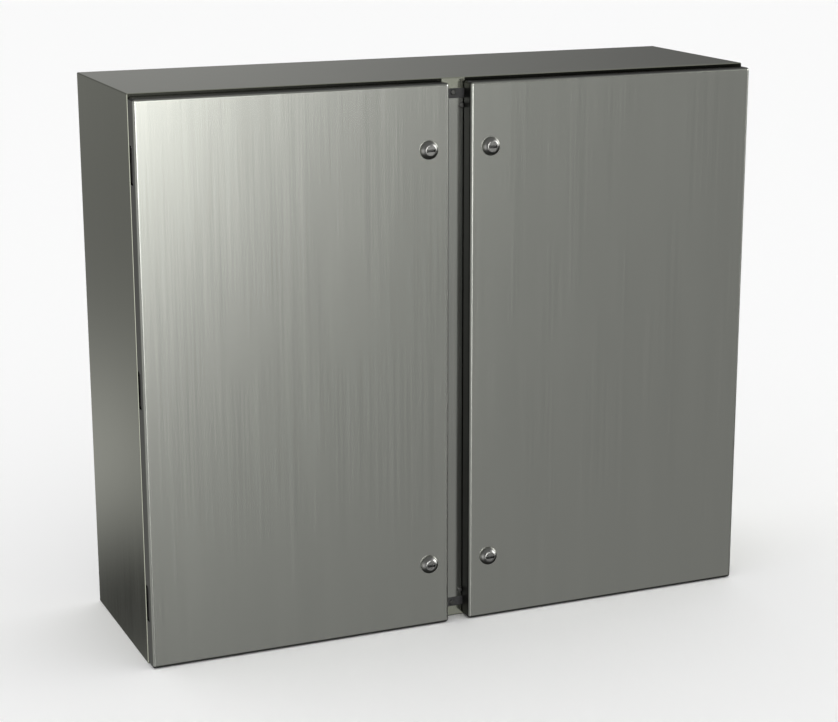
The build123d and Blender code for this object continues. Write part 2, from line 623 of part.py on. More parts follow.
for name, side in SIDES.items():
    lock_spots = [(side * LOCK_X, z) for z in LOCK_HEIGHTS.values()]
    for level, height in LOCK_HEIGHTS.items():
        spot = (side * LOCK_X, height)
        with BuildPart() as housing:
            with BuildSketch(facing_front(DOOR_FACE_Y)):
                with Locations(spot):
                    Circle(HEAD_RADIUS)
            extrude(amount=LOCK_HEAD_HEIGHT)
            fillet(housing.faces().sort_by(Axis.Y)[0].edges(), HEAD_DOME_RADIUS)
            with BuildSketch(facing_front(DOOR_FACE_Y)):
                with Locations(spot):
                    Circle(BARREL_RADIUS)
            extrude(amount=-BARREL_LENGTH)
            with BuildSketch(facing_front(DOOR_FACE_Y - RECESS_FLOOR)):
                with Locations(spot):
                    Circle(RECESS_RADIUS)
            extrude(amount=LOCK_HEAD_HEIGHT - RECESS_FLOOR, mode=Mode.SUBTRACT)
            with BuildSketch(facing_front(DOOR_FACE_Y - RECESS_FLOOR)):
                with Locations(spot):
                    Circle(CORE_RADIUS + RUNNING_CLEARANCE)
            extrude(amount=-(BARREL_LENGTH + RECESS_FLOOR), mode=Mode.SUBTRACT)
        save(housing.part, f"{name}_{level}_lock_housing")

        core_face_y = DOOR_FACE_Y - LOCK_HEAD_HEIGHT
        shoulder_y = DOOR_FACE_Y - RECESS_FLOOR - RUNNING_CLEARANCE
        with BuildPart() as core:
            with BuildSketch(facing_front(shoulder_y)):
                with Locations(spot):
                    Circle(CORE_FACE_RADIUS)
            extrude(amount=shoulder_y - core_face_y)
            fillet(core.faces().sort_by(Axis.Y)[0].edges(), CORE_FACE_EDGE)
            with BuildSketch(facing_front(core_face_y + DRIVER_SLOT_DEPTH)):
                with Locations(spot):
                    Rectangle(*DRIVER_SLOT)
            extrude(amount=DRIVER_SLOT_DEPTH, mode=Mode.SUBTRACT)
            with BuildSketch(facing_front(DOOR_FACE_Y + CAM_DEPTH)):
                with Locations(spot):
                    Circle(CORE_RADIUS)
            extrude(amount=DOOR_FACE_Y + CAM_DEPTH - shoulder_y)
            with BuildSketch(facing_front(DOOR_FACE_Y + CAM_DEPTH)):
                with Locations(spot):
                    Rectangle(CORE_SQUARE, CORE_SQUARE)
            extrude(amount=-CAM_SHEET)
            with BuildSketch(facing_front(DOOR_FACE_Y + CAM_DEPTH + CAM_SHEET)):
                with Locations(spot):
                    Circle(CAM_SCREW_RADIUS + RUNNING_CLEARANCE)
            extrude(amount=CAM_SCREW_LENGTH + RUNNING_CLEARANCE, mode=Mode.SUBTRACT)
        save(core.part, f"{name}_{level}_lock_core")

        with BuildPart() as cam:
            with BuildSketch(facing_front(DOOR_FACE_Y + CAM_DEPTH + CAM_SHEET)):
                with Locations((spot[0], height + (CAM_TAIL - CAM_REACH) / 2)):
                    RectangleRounded(CAM_WIDTH, CAM_REACH + CAM_TAIL, CAM_END_RADIUS)
                with Locations(spot):
                    square = CORE_SQUARE + 2 * RUNNING_CLEARANCE
                    Rectangle(square, square, mode=Mode.SUBTRACT)
            extrude(amount=CAM_SHEET)
        save(cam.part, f"{name}_{level}_lock_cam")

        with BuildPart() as cam_screw:
            with BuildSketch(facing_front(DOOR_FACE_Y + CAM_DEPTH + CAM_SHEET)):
                with Locations(spot):
                    Circle(CAM_SCREW_RADIUS)
            extrude(amount=CAM_SCREW_LENGTH)
            with BuildSketch(facing_front(DOOR_FACE_Y + CAM_DEPTH + CAM_SHEET)):
                with Locations(spot):
                    Circle(CAM_SCREW_FLANGE[0])
            extrude(amount=-CAM_SCREW_FLANGE[1])
            with BuildSketch(facing_front(DOOR_FACE_Y + CAM_DEPTH + CAM_SHEET)):
                with Locations(spot):
                    RegularPolygon(CAM_SCREW_HEAD[0], 6, major_radius=False)
            extrude(amount=-CAM_SCREW_HEAD[1])
        save(cam_screw.part, f"{name}_{level}_lock_cam_screw")

    with BuildPart() as lock_washers:
        with BuildSketch(facing_front(DOOR_INNER_Y + LOCK_WASHER[1])):
            with Locations(*lock_spots):
                Circle(LOCK_WASHER[0])
                Circle(BARREL_HOLE_RADIUS, mode=Mode.SUBTRACT)
        extrude(amount=LOCK_WASHER[1])
    save(lock_washers.part, f"{name}_lock_washers")

    with BuildPart() as lock_nuts:
        with BuildSketch(facing_front(DOOR_INNER_Y + LOCK_WASHER[1] + LOCK_NUT[1])):
            with Locations(*lock_spots):
                RegularPolygon(LOCK_NUT[0] / 2, 6, major_radius=False)
                Circle(BARREL_HOLE_RADIUS, mode=Mode.SUBTRACT)
        extrude(amount=LOCK_NUT[1])
    save(lock_nuts.part, f"{name}_lock_nuts")
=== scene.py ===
import json
import math

import bmesh
import bpy
from mathutils import Matrix, Vector


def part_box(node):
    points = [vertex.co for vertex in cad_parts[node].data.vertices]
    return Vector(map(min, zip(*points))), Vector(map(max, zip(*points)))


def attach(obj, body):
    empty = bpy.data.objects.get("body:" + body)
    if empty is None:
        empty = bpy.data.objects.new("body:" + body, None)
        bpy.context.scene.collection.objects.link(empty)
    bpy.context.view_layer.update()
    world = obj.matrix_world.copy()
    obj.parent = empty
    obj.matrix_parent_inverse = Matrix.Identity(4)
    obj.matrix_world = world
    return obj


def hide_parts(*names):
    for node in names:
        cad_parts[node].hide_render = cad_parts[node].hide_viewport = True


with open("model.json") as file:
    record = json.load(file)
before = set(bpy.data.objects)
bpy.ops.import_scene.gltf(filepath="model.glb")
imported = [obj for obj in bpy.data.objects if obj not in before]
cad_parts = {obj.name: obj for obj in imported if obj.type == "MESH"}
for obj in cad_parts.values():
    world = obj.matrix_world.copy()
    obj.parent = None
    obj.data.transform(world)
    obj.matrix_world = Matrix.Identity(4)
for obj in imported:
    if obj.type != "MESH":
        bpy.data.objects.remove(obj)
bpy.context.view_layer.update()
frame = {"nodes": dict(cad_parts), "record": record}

# ---------------------------------------------------------------- body shell
# The cabinet's wrapper: brushed stainless sheet 1.5 mm thick, folded into a tube with a flange round
# the front and a raised sealing lip, seam welded at the rear. Two cable entries are cut in its floor.
SIDES = {"left": -1, "right": 1}
SHELL_SHEET = 0.0015
SHELL_BEND = 0.002
BEND_STEPS = 7
LIP_OUTSET = 0.016
LIP_CORNER = 0.006
CHANNEL_DEPTH = 0.004  # how far behind the flange the painted shade reaches
CHANNEL_GAP = 0.020  # half the width at the post that is left without painted shade
LOOKS_FORWARD = -0.85  # Y of the normal of a face that looks to the front
ENTRY_MARGIN = 0.022  # gland plate's edge to the cable entry
ENTRY_CORNER = 0.006
ENTRY_DEPTH = 0.004  # through the floor, from the underside
CUT_PAST = 0.01  # how far a cutter reaches past the sheet
HAIR = 0.0001  # a clearance or rounding too small to see
TOUCHING = 1e-6  # points closer than this are in one place
MILLIMETRE = 0.001
STAINLESS = (0.565, 0.570, 0.545, 1.0)


def calculated(tree, operation, *values):
    """The output of a math node; each value is a number or the output of another node."""
    step = tree.nodes.new("ShaderNodeMath")
    step.operation = operation
    for place, value in zip(step.inputs, values):
        if isinstance(value, float):
            place.default_value = value
        else:
            tree.links.new(value, place)
    return step.outputs[0]


def ramp(tree, source, start, end, low=0.0, high=1.0):
    """Runs from low to high while the source runs from start to end."""
    change = tree.nodes.new("ShaderNodeMapRange")
    change.inputs["From Min"].default_value = start
    change.inputs["From Max"].default_value = end
    change.inputs["To Min"].default_value = low
    change.inputs["To Max"].default_value = high
    tree.links.new(source, change.inputs["Value"])
    return change.outputs["Result"]


def toned(tree, colour, share):
    """The colour made darker or lighter by a share."""
    step = tree.nodes.new("ShaderNodeVectorMath")
    step.operation = "SCALE"
    tree.links.new(colour, step.inputs[0])
    tree.links.new(share, step.inputs["Scale"])
    return step.outputs[0]


def stretched(tree, place, stretch):
    """Coordinates multiplied axis by axis; a pattern is drawn out along the axis with the least."""
    step = tree.nodes.new("ShaderNodeVectorMath")
    step.operation = "MULTIPLY"
    tree.links.new(place, step.inputs[0])
    tree.links.new(stretch, step.inputs[1])
    return step.outputs[0]


def effect_group(name, inputs, outputs):
    """A node group with named inputs and outputs, and the nodes at its two ends."""
    group = bpy.data.node_groups.new(name, "ShaderNodeTree")
    for label, kind, value in inputs:
        socket = group.interface.new_socket(label, in_out="INPUT", socket_type=kind)
        socket.default_value = value
    for label, kind in outputs:
        group.interface.new_socket(label, in_out="OUTPUT", socket_type=kind)
    return group, group.nodes.new("NodeGroupInput"), group.nodes.new("NodeGroupOutput")


def drawn_grain_group():
    """Grain that a belt or a mill leaves in metal, drawn out one way, with cloudy marks over it."""
    group, given, made = effect_group(
        "drawn_grain",
        (
            ("Metal", "NodeSocketColor", STAINLESS),
            ("Stretch", "NodeSocketVector", (400.0, 400.0, 6.0)),
            ("Tone Spread", "NodeSocketFloat", 0.08),
            ("Roughness", "NodeSocketFloat", 0.30),
            ("Roughness Spread", "NodeSocketFloat", 0.10),
            ("Cloud Size", "NodeSocketFloat", 3.0),
            ("Cloud Stretch", "NodeSocketVector", (1.0, 1.0, 1.0)),
            ("Cloud Spread", "NodeSocketFloat", 0.06),
        ),
        (
            ("Colour", "NodeSocketColor"),
            ("Roughness", "NodeSocketFloat"),
            ("Height", "NodeSocketFloat"),
        ),
    )
    nodes, links = group.nodes, group.links
    place = nodes.new("ShaderNodeTexCoord").outputs["Object"]
    grain = nodes.new("ShaderNodeTexNoise")
    grain.inputs["Scale"].default_value = 1.0
    grain.inputs["Detail"].default_value = 4.0
    grain.inputs["Roughness"].default_value = 0.62
    links.new(stretched(group, place, given.outputs["Stretch"]), grain.inputs["Vector"])
    cloud = nodes.new("ShaderNodeTexNoise")
    cloud.inputs["Detail"].default_value = 3.0
    links.new(given.outputs["Cloud Size"], cloud.inputs["Scale"])
    links.new(stretched(group, place, given.outputs["Cloud Stretch"]), cloud.inputs["Vector"])

    def swing(texture, spread):
        """The texture as a swing to both sides of nothing, by a given spread."""
        centred = calculated(group, "SUBTRACT", texture.outputs["Fac"], 0.5)
        return calculated(group, "MULTIPLY", centred, given.outputs[spread])

    grained = calculated(group, "ADD", 1.0, swing(grain, "Tone Spread"))
    tone = calculated(group, "ADD", grained, swing(cloud, "Cloud Spread"))
    links.new(toned(group, given.outputs["Metal"], tone), made.inputs["Colour"])
    grained = calculated(group, "ADD", given.outputs["Roughness"], swing(grain, "Roughness Spread"))
    rough = calculated(group, "ADD", grained, swing(cloud, "Cloud Spread"))
    links.new(rough, made.inputs["Roughness"])
    links.new(grain.outputs["Fac"], made.inputs["Height"])
    return group


def rubbed_edge_group():
    """Bends and corners that handling has rubbed brighter and smoother than the flats."""
    group, given, made = effect_group(
        "rubbed_edge",
        (
            ("Colour", "NodeSocketColor", STAINLESS),
            ("Roughness", "NodeSocketFloat", 0.30),
            ("Brightening", "NodeSocketFloat", 0.15),
            ("Smoothing", "NodeSocketFloat", 0.08),
        ),
        (
            ("Colour", "NodeSocketColor"),
            ("Roughness", "NodeSocketFloat"),
        ),
    )
    flat, sharp = 0.51, 0.60  # pointiness of a flat face and of an edge
    shape = group.nodes.new("ShaderNodeNewGeometry")
    edge = ramp(group, shape.outputs["Pointiness"], flat, sharp)
    lift = calculated(group, "MULTIPLY", edge, given.outputs["Brightening"])
    bright = toned(group, given.outputs["Colour"], calculated(group, "ADD", 1.0, lift))
    group.links.new(bright, made.inputs["Colour"])
    polish = calculated(group, "MULTIPLY", edge, given.outputs["Smoothing"])
    smooth = calculated(group, "SUBTRACT", given.outputs["Roughness"], polish)
    group.links.new(smooth, made.inputs["Roughness"])
    return group


drawn_grain = drawn_grain_group()
rubbed_edge = rubbed_edge_group()


def new_material(name):
    """A material and its surface shader."""
    material = bpy.data.materials.new(name)
    material.use_nodes = True
    return material, material.node_tree.nodes["Principled BSDF"]


def add_relief(tree, height, surface, distance, strength):
    """Lets a height roughen the surface by so many metres."""
    relief = tree.nodes.new("ShaderNodeBump")
    relief.inputs["Strength"].default_value = strength
    relief.inputs["Distance"].default_value = distance
    tree.links.new(height, relief.inputs["Height"])
    tree.links.new(relief.outputs["Normal"], surface.inputs["Normal"])


def grained_metal(
    name, metal, stretch, rough, tone=0.08, rough_spread=0.10, cloud=(3.0, 0.06),
    cloud_stretch=(1.0, 1.0, 1.0), bump=0.02, edge=(0.15, 0.08),
):
    """A bare or plated metal whose grain runs where stretch is smallest.

    cloud is how close the cloudy marks lie and how strong they are, bump is the grain's relief in
    millimetres, and edge is how much brighter and smoother the rubbed edges are.
    """
    material, surface = new_material(name)
    surface.inputs["Metallic"].default_value = 1.0
    nodes, links = material.node_tree.nodes, material.node_tree.links
    grain = nodes.new("ShaderNodeGroup")
    grain.node_tree = drawn_grain
    for socket, value in (
        ("Metal", (*metal, 1.0)),
        ("Stretch", stretch),
        ("Tone Spread", tone),
        ("Roughness", rough),
        ("Roughness Spread", rough_spread),
        ("Cloud Size", cloud[0]),
        ("Cloud Stretch", cloud_stretch),
        ("Cloud Spread", cloud[1]),
    ):
        grain.inputs[socket].default_value = value
    rubbed = nodes.new("ShaderNodeGroup")
    rubbed.node_tree = rubbed_edge
    rubbed.inputs["Brightening"].default_value = edge[0]
    rubbed.inputs["Smoothing"].default_value = edge[1]
    links.new(grain.outputs["Colour"], rubbed.inputs["Colour"])
    links.new(grain.outputs["Roughness"], rubbed.inputs["Roughness"])
    links.new(rubbed.outputs["Colour"], surface.inputs["Base Color"])
    links.new(rubbed.outputs["Roughness"], surface.inputs["Roughness"])
    add_relief(material.node_tree, grain.outputs["Height"], surface, bump * MILLIMETRE, 1.0)
    return material


def place_and_facing(tree):
    """Where a point of the object is and where its face looks, each split into X, Y and Z."""
    coordinates = tree.nodes.new("ShaderNodeTexCoord")
    split = []
    for kind in ("Object", "Normal"):
        parts = tree.nodes.new("ShaderNodeSeparateXYZ")
        tree.links.new(coordinates.outputs[kind], parts.inputs[0])
        split.append(parts.outputs)
    return split


def tone_down(material, share):
    """Multiplies the material's colour as it is by a share."""
    colour = material.node_tree.nodes["Principled BSDF"].inputs["Base Color"]
    plain = colour.links[0].from_socket
    material.node_tree.links.new(toned(material.node_tree, plain, share), colour)


def painted_channel_shade(material, darkening, middle, rear):
    """Painted shade: darkens the forward faces of the flange in the drip channel round the doorways,
    outside the middle.
    """
    tree = material.node_tree
    where, facing = place_and_facing(tree)
    aside = calculated(tree, "ABSOLUTE", where["X"])
    masks = (
        calculated(tree, "GREATER_THAN", aside, middle),
        calculated(tree, "LESS_THAN", where["Y"], rear),
        calculated(tree, "LESS_THAN", facing["Y"], LOOKS_FORWARD),
    )
    channel = calculated(tree, "MULTIPLY", calculated(tree, "MULTIPLY", masks[0], masks[1]), masks[2])
    tone_down(material, ramp(tree, channel, 0.0, 1.0, 1.0, 1.0 - darkening))


def as_object(name, shape, material):
    """Turns a finished bmesh into an object of one material."""
    mesh = bpy.data.meshes.new(name)
    shape.to_mesh(mesh)
    shape.free()
    mesh.materials.append(material)
    made = bpy.data.objects.new(name, mesh)
    bpy.context.scene.collection.objects.link(made)
    return made


def as_piece(name, shape, material, body, node):
    """Turns a finished bmesh into a piece that rides on a body and stands for a CAD node."""
    piece = as_object(name, shape, material)
    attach(piece, body)
    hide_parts(node)
    return piece


def with_modifiers_applied(piece):
    """Makes what the piece's modifiers give its own mesh."""
    graph = bpy.context.evaluated_depsgraph_get()
    finished = bpy.data.meshes.new_from_object(piece.evaluated_get(graph))
    piece.modifiers.clear()
    piece.data = finished


def thicken(piece, sheet):
    """Gives a folded surface its sheet thickness, inwards from the outer face."""
    wall = piece.modifiers.new("sheet", "SOLIDIFY")
    wall.thickness = sheet
    wall.offset = -1.0
    wall.use_even_offset = True
    wall.use_quality_normals = True
    with_modifiers_applied(piece)


def cut_away(piece, cutter_shape, lining=None):
    """Cuts one closed shape out of the piece; the cut may be lined with its own material."""
    cutter = as_object("cutter", cutter_shape, lining or piece.data.materials[0])
    cut = piece.modifiers.new("cut", "BOOLEAN")
    cut.operation = "DIFFERENCE"
    cut.solver = "EXACT"
    cut.material_mode = "TRANSFER"
    cut.object = cutter
    with_modifiers_applied(piece)
    bpy.data.objects.remove(cutter)


def shade_flats(piece, sharp_degrees=40.0):
    """Smooth bends between flat faces that stay flat."""
    piece.data.shade_smooth()
    piece.data.set_sharp_from_angle(angle=math.radians(sharp_degrees))
    weighted = piece.modifiers.new("flats", "WEIGHTED_NORMAL")
    weighted.keep_sharp = True
    weighted.weight = 100


def block(shape, low, high):
    """Adds a box between two corners to a bmesh."""
    low, high = Vector(low), Vector(high)
    verts = bmesh.ops.create_cube(shape, size=1.0)["verts"]
    bmesh.ops.scale(shape, vec=high - low, verts=verts)
    bmesh.ops.translate(shape, vec=(low + high) / 2, verts=verts)


def round_off(shape, geometry, radius, steps, affect="EDGES"):
    """Rounds edges of a bmesh, or the corners of a flat outline."""
    bmesh.ops.bevel(
        shape, geom=geometry, offset=radius, offset_type="OFFSET", segments=steps, profile=0.5,
        affect=affect, material=-1,
    )


def edges_along(shape, axis):
    """The edges of a bmesh that run along one axis, 0 to 2."""
    others = [i for i in range(3) if i != axis]
    return [
        e for e in shape.edges
        if all(abs(e.verts[0].co[i] - e.verts[1].co[i]) < TOUCHING for i in others)
    ]


def rounded_block(low, high, radius, axis, steps=6):
    """A box whose edges along one axis are rounded."""
    shape = bmesh.new()
    block(shape, low, high)
    round_off(shape, edges_along(shape, axis), radius, steps)
    return shape


def folded_pan(low, high, bend):
    """Five faces of a box, open to the rear, with bends along its front and corner edges."""
    shape = bmesh.new()
    block(shape, low, high)
    rear = [f for f in shape.faces if f.normal.y > 0.5]
    bmesh.ops.delete(shape, geom=rear, context="FACES_ONLY")
    front = min(v.co.y for v in shape.verts)
    folds = [e for e in shape.edges if any(v.co.y - front < TOUCHING for v in e.verts)]
    round_off(shape, folds, bend, BEND_STEPS)
    return shape


def flanged_shell(low, high, flange_y):
    """The wrapper's outer face, with the flange turned in and the lip standing up from it."""
    shape = folded_pan((low.x, flange_y, low.z), high, SHELL_BEND)
    front = max((f for f in shape.faces if f.normal.y < -0.9), key=lambda f: f.calc_area())
    bmesh.ops.inset_region(
        shape, faces=[front], thickness=LIP_OUTSET - SHELL_BEND, use_even_offset=True
    )
    rim = list(front.edges)
    bmesh.ops.delete(shape, geom=[front], context="FACES_ONLY")
    lip = bmesh.ops.extrude_edge_only(shape, edges=rim)["geom"]
    lip_verts = [v for v in lip if isinstance(v, bmesh.types.BMVert)]
    bmesh.ops.translate(shape, vec=(0, low.y - flange_y, 0), verts=lip_verts)
    lip_corners = [
        e for e in edges_along(shape, 1) if min(v.co.y for v in e.verts) < flange_y - HAIR
    ]
    round_off(shape, lip_corners, LIP_CORNER, BEND_STEPS)
    return shape


body_low, body_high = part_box("body_shell")
post_low, post_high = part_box("centre_post")
flange_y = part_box("left_hinge_frame_leaf_upper")[1].y
brushed_shell = grained_metal(
    "brushed_stainless_shell", metal=(0.555, 0.570, 0.468), stretch=(5.0, 300.0, 5.0), rough=0.15,
    tone=0.12, cloud=(2.2, 0.05),
)
# Painted shade on the flange in the gaps round the doors, left out between the doors at the post.
painted_channel_shade(brushed_shell, darkening=0.93, middle=CHANNEL_GAP, rear=flange_y + CHANNEL_DEPTH)
body_shell = as_piece(
    "shell_wrapper", flanged_shell(body_low, body_high, flange_y), brushed_shell, "cabinet",
    "body_shell",
)
thicken(body_shell, SHELL_SHEET)
cut_away(
    body_shell,
    rounded_block(
        (post_low.x, body_low.y - CUT_PAST, body_low.z - CUT_PAST),
        (post_high.x, flange_y - HAIR, body_high.z + CUT_PAST),
        radius=HAIR, axis=1, steps=1,
    ),
)
for side in SIDES:
    low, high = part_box(f"gland_plate_{side}")
    cut_away(
        body_shell,
        rounded_block(
            (low.x + ENTRY_MARGIN, low.y + ENTRY_MARGIN, body_low.z - CUT_PAST),
            (high.x - ENTRY_MARGIN, high.y - ENTRY_MARGIN, body_low.z + ENTRY_DEPTH),
            radius=ENTRY_CORNER, axis=2,
        ),
    )
shade_flats(body_shell)

# ---------------------------------------------------------------- doors
# Two folded pans of 2 mm stainless, brushed up and down. The fold beside the hinges is cut away where
# the hinges stand, and each pan has a hole for each lock.
DOOR_SHEET = 0.002
DOOR_BEND = 0.005
NOTCH_LENGTH = 0.060
NOTCH_SETBACK = 0.011  # door's front to the notch
LOCK_HOLE = 0.01015
HOLE_STEPS = 64
LOCK_LEVELS = ("upper", "lower")
HINGE_LEVELS = ("upper", "middle", "lower")
# Painted shade, and on the bends also roughening, fades in between two sizes of the normal's part
# along an axis: Y for faces that look to the front, Z for faces that look up or down.
FOLD_FADE_Y = (0.96, 0.45)
LEVEL_FOLD_FADE_Z = (0.5, 0.3)
BEND_FADE_Y = (0.9995, 0.975)
UPRIGHT_FADE_Z = (0.20, 0.05)


def painted_fold_shade(material, darkening, hinge_side_darkening, bend_shade_tone, bend_roughening, middle):
    """Painted shade on the folded sides, which stand in the gaps round the doors; less of it beside
    the hinges.

    The upright bends get painted shade too, and are rougher than the flats, where the belt rides off
    the sheet.
    """
    tree = material.node_tree
    where, facing = place_and_facing(tree)
    aside = calculated(tree, "ABSOLUTE", where["X"])
    forward = calculated(tree, "ABSOLUTE", facing["Y"])
    level = calculated(tree, "ABSOLUTE", facing["Z"])
    hinge_side = calculated(
        tree, "MULTIPLY", ramp(tree, aside, middle, 2 * middle), ramp(tree, level, *LEVEL_FOLD_FADE_Z)
    )
    darkness = ramp(tree, hinge_side, 0.0, 1.0, darkening, hinge_side_darkening)
    dark = calculated(tree, "MULTIPLY", ramp(tree, forward, *FOLD_FADE_Y), darkness)
    bend = calculated(
        tree, "MULTIPLY", ramp(tree, forward, *BEND_FADE_Y), ramp(tree, level, *UPRIGHT_FADE_Z)
    )
    fold_share = ramp(tree, dark, 0.0, 1.0, 1.0, 0.0)
    bend_share = ramp(tree, bend, 0.0, 1.0, 1.0, bend_shade_tone)
    tone_down(material, calculated(tree, "MULTIPLY", fold_share, bend_share))
    rough = tree.nodes["Principled BSDF"].inputs["Roughness"]
    brushed = rough.links[0].from_socket
    tree.links.new(calculated(tree, "MULTIPLY_ADD", bend, bend_roughening, brushed), rough)


def centre_of(node):
    """Middle of a CAD node's box."""
    low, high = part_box(node)
    return (low + high) / 2


def rod(radius, start, end):
    """A plain closed rod along Y, used to bore holes."""
    shape = bmesh.new()
    bmesh.ops.create_cone(
        shape, cap_ends=True, segments=HOLE_STEPS, radius1=radius, radius2=radius,
        depth=end.y - start.y,
    )
    bmesh.ops.rotate(shape, matrix=Matrix.Rotation(math.pi / 2, 3, "X"), verts=shape.verts)
    bmesh.ops.translate(shape, vec=(start + end) / 2, verts=shape.verts)
    bmesh.ops.recalc_face_normals(shape, faces=shape.faces)
    return shape


brushed_door = grained_metal(
    "brushed_stainless_door", metal=(0.555, 0.565, 0.515), stretch=(330.0, 330.0, 3.0), rough=0.18,
    tone=0.08, cloud=(2.0, 0.035), cloud_stretch=(12.0, 12.0, 1.0), bump=0.012, edge=(0.0, 0.0),
)
# Painted shade on the doors' folded sides and upright bends.
painted_fold_shade(
    brushed_door, darkening=0.90, hinge_side_darkening=0.25, bend_shade_tone=0.62, bend_roughening=0.22,
    middle=post_high.x,
)
for side, sign in SIDES.items():
    low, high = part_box(f"{side}_door")
    pan = as_piece(
        f"{side}_door_pan", folded_pan(low, high, DOOR_BEND), brushed_door,
        f"{side}_door_leaf", f"{side}_door",
    )
    thicken(pan, DOOR_SHEET)
    outer_x = low.x if sign < 0 else high.x
    for level in HINGE_LEVELS:
        hinge = centre_of(f"{side}_hinge_frame_leaf_{level}")
        notch = bmesh.new()
        block(
            notch,
            (outer_x - 2 * DOOR_SHEET, low.y + NOTCH_SETBACK, hinge.z - NOTCH_LENGTH / 2),
            (outer_x + 2 * DOOR_SHEET, high.y + CUT_PAST, hinge.z + NOTCH_LENGTH / 2),
        )
        cut_away(pan, notch)
    for level in LOCK_LEVELS:
        lock = centre_of(f"{side}_{level}_lock_cam_screw")
        ahead = Vector((lock.x, low.y - CUT_PAST, lock.z))
        behind = Vector((lock.x, low.y + CUT_PAST, lock.z))
        cut_away(pan, rod(LOCK_HOLE, ahead, behind))
    shade_flats(pan)

# ---------------------------------------------------------------- door gaskets
# Foam strip poured in one run round the inside of each door, with a rounded crown that the sealing
# lip sinks into.
GASKET_WIDTH = 0.010
GASKET_CORNER = 0.011
GASKET_CORNER_STEPS = 8
GASKET_CROWN = 0.0035
GASKET_CROWN_STEPS = 4
FOAM_EDGE = 1.0  # radians; the strip's long edges are sharper than this


def matt_black(name, tone, rough, grit):
    """Black rubber or foam with a fine grit in its skin."""
    material, surface = new_material(name)
    nodes, links = material.node_tree.nodes, material.node_tree.links
    place = nodes.new("ShaderNodeTexCoord")
    skin = nodes.new("ShaderNodeTexNoise")
    skin.inputs["Scale"].default_value = grit
    skin.inputs["Detail"].default_value = 5.0
    links.new(place.outputs["Object"], skin.inputs["Vector"])
    colours = nodes.new("ShaderNodeValToRGB")
    hollows, crests = colours.color_ramp.elements
    hollows.position = 0.3
    hollows.color = (tone * 0.6, tone * 0.6, tone * 0.62, 1.0)
    crests.position = 0.75
    crests.color = (tone * 1.5, tone * 1.5, tone * 1.45, 1.0)
    links.new(skin.outputs["Fac"], colours.inputs["Fac"])
    links.new(colours.outputs["Color"], surface.inputs["Base Color"])
    dull = ramp(material.node_tree, skin.outputs["Fac"], 0.0, 1.0, rough - 0.1, rough + 0.1)
    links.new(dull, surface.inputs["Roughness"])
    add_relief(material.node_tree, skin.outputs["Fac"], surface, 0.2 * MILLIMETRE, 0.6)
    return material


def foam_ring(low, high):
    """A flat rounded frame, raised from the door and rounded along its crown."""
    ring = bmesh.new()
    corners = [
        ring.verts.new((x, low.y, z))
        for x, z in ((low.x, low.z), (high.x, low.z), (high.x, high.z), (low.x, high.z))
    ]
    ring.faces.new(corners)
    round_off(ring, corners, GASKET_CORNER, GASKET_CORNER_STEPS, affect="VERTICES")
    outline = list(ring.faces)
    bmesh.ops.inset_region(
        ring, faces=outline, thickness=GASKET_WIDTH, use_boundary=True, use_even_offset=True
    )
    bmesh.ops.delete(ring, geom=outline, context="FACES_ONLY")
    raised = bmesh.ops.extrude_face_region(ring, geom=ring.faces[:], use_keep_orig=True)["geom"]
    crown = [v for v in raised if isinstance(v, bmesh.types.BMVert)]
    bmesh.ops.translate(ring, vec=(0, high.y - low.y, 0), verts=crown)
    rims = [
        e for e in ring.edges
        if all(abs(v.co.y - high.y) < TOUCHING for v in e.verts) and e.calc_face_angle(0) > FOAM_EDGE
    ]
    round_off(ring, rims, GASKET_CROWN, GASKET_CROWN_STEPS)
    bmesh.ops.recalc_face_normals(ring, faces=ring.faces)
    return ring


gasket_foam = matt_black("gasket_foam", tone=0.035, rough=0.8, grit=900.0)
for side in SIDES:
    strip = as_piece(
        f"{side}_gasket_strip", foam_ring(*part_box(f"{side}_door_gasket")), gasket_foam,
        f"{side}_door_leaf", f"{side}_door_gasket",
    )
    shade_flats(strip, 60.0)

# ---------------------------------------------------------------- lock heads
# Quarter-turn locks: a satin domed housing through the door, and a core whose face has a driver's
# slot. The housing's barrel is threaded for its nut.
HEAD_RADIUS = 0.0152
HEAD_WALL = 0.0012  # straight part at the head's foot
HEAD_ROUNDING = 0.0068
RIM_CONE = 0.30  # share of the rim's fall that is a plain cone
HEAD_STEPS = 18
FACE_HOLE = 0.0075
CORE_HOLE = 0.0061
HEAD_LEDGE = 0.0020  # ahead of the door; the core's face sits on it
BARREL_RADIUS = 0.0100
THREAD_START = 0.003  # behind the door's front
THREAD_PITCH = 0.0015
THREAD_DEPTH = 0.0007
FACE_RADIUS = 0.0074
FACE_STEPS = 6
CORE_LEDGE = 0.0021  # ahead of the door, a hair clear of the head's ledge
CORE_RADIUS = 0.0060
SLOT_WIDTH = 0.0042
SLOT_DEPTH = 0.0050
TURN_STEPS = 72
satin_head = grained_metal(
    "satin_lock_head", metal=(0.27, 0.27, 0.257), stretch=(260.0, 260.0, 260.0), rough=0.32,
    tone=0.08, rough_spread=0.06, cloud=(60.0, 0.06), bump=0.01,
)
# Painted shade: the lining of the core's slot is made dark for the shade inside the slot.
slot_shade_lining = grained_metal(
    "slot_painted_shade", metal=(0.10, 0.10, 0.096), stretch=(300.0, 300.0, 300.0), rough=0.55, tone=0.4,
    rough_spread=0.2, cloud=(90.0, 0.2), edge=(0.0, 0.0),
)


def turned(profile, centre):
    """A ring or solid turned about the Y axis through centre from (radius, y) points."""
    shape = bmesh.new()
    points = [shape.verts.new((centre.x + r, y, centre.z)) for r, y in profile]
    edges = [shape.edges.new(pair) for pair in zip(points, points[1:])]
    if profile[0][0] > 0:
        edges.append(shape.edges.new((points[-1], points[0])))
    bmesh.ops.spin(
        shape, geom=points + edges, cent=centre, axis=(0, 1, 0), angle=2 * math.pi, steps=TURN_STEPS,
        use_merge=True, use_duplicate=False,
    )
    bmesh.ops.remove_doubles(shape, verts=shape.verts, dist=TOUCHING)
    bmesh.ops.recalc_face_normals(shape, faces=shape.faces)
    return shape


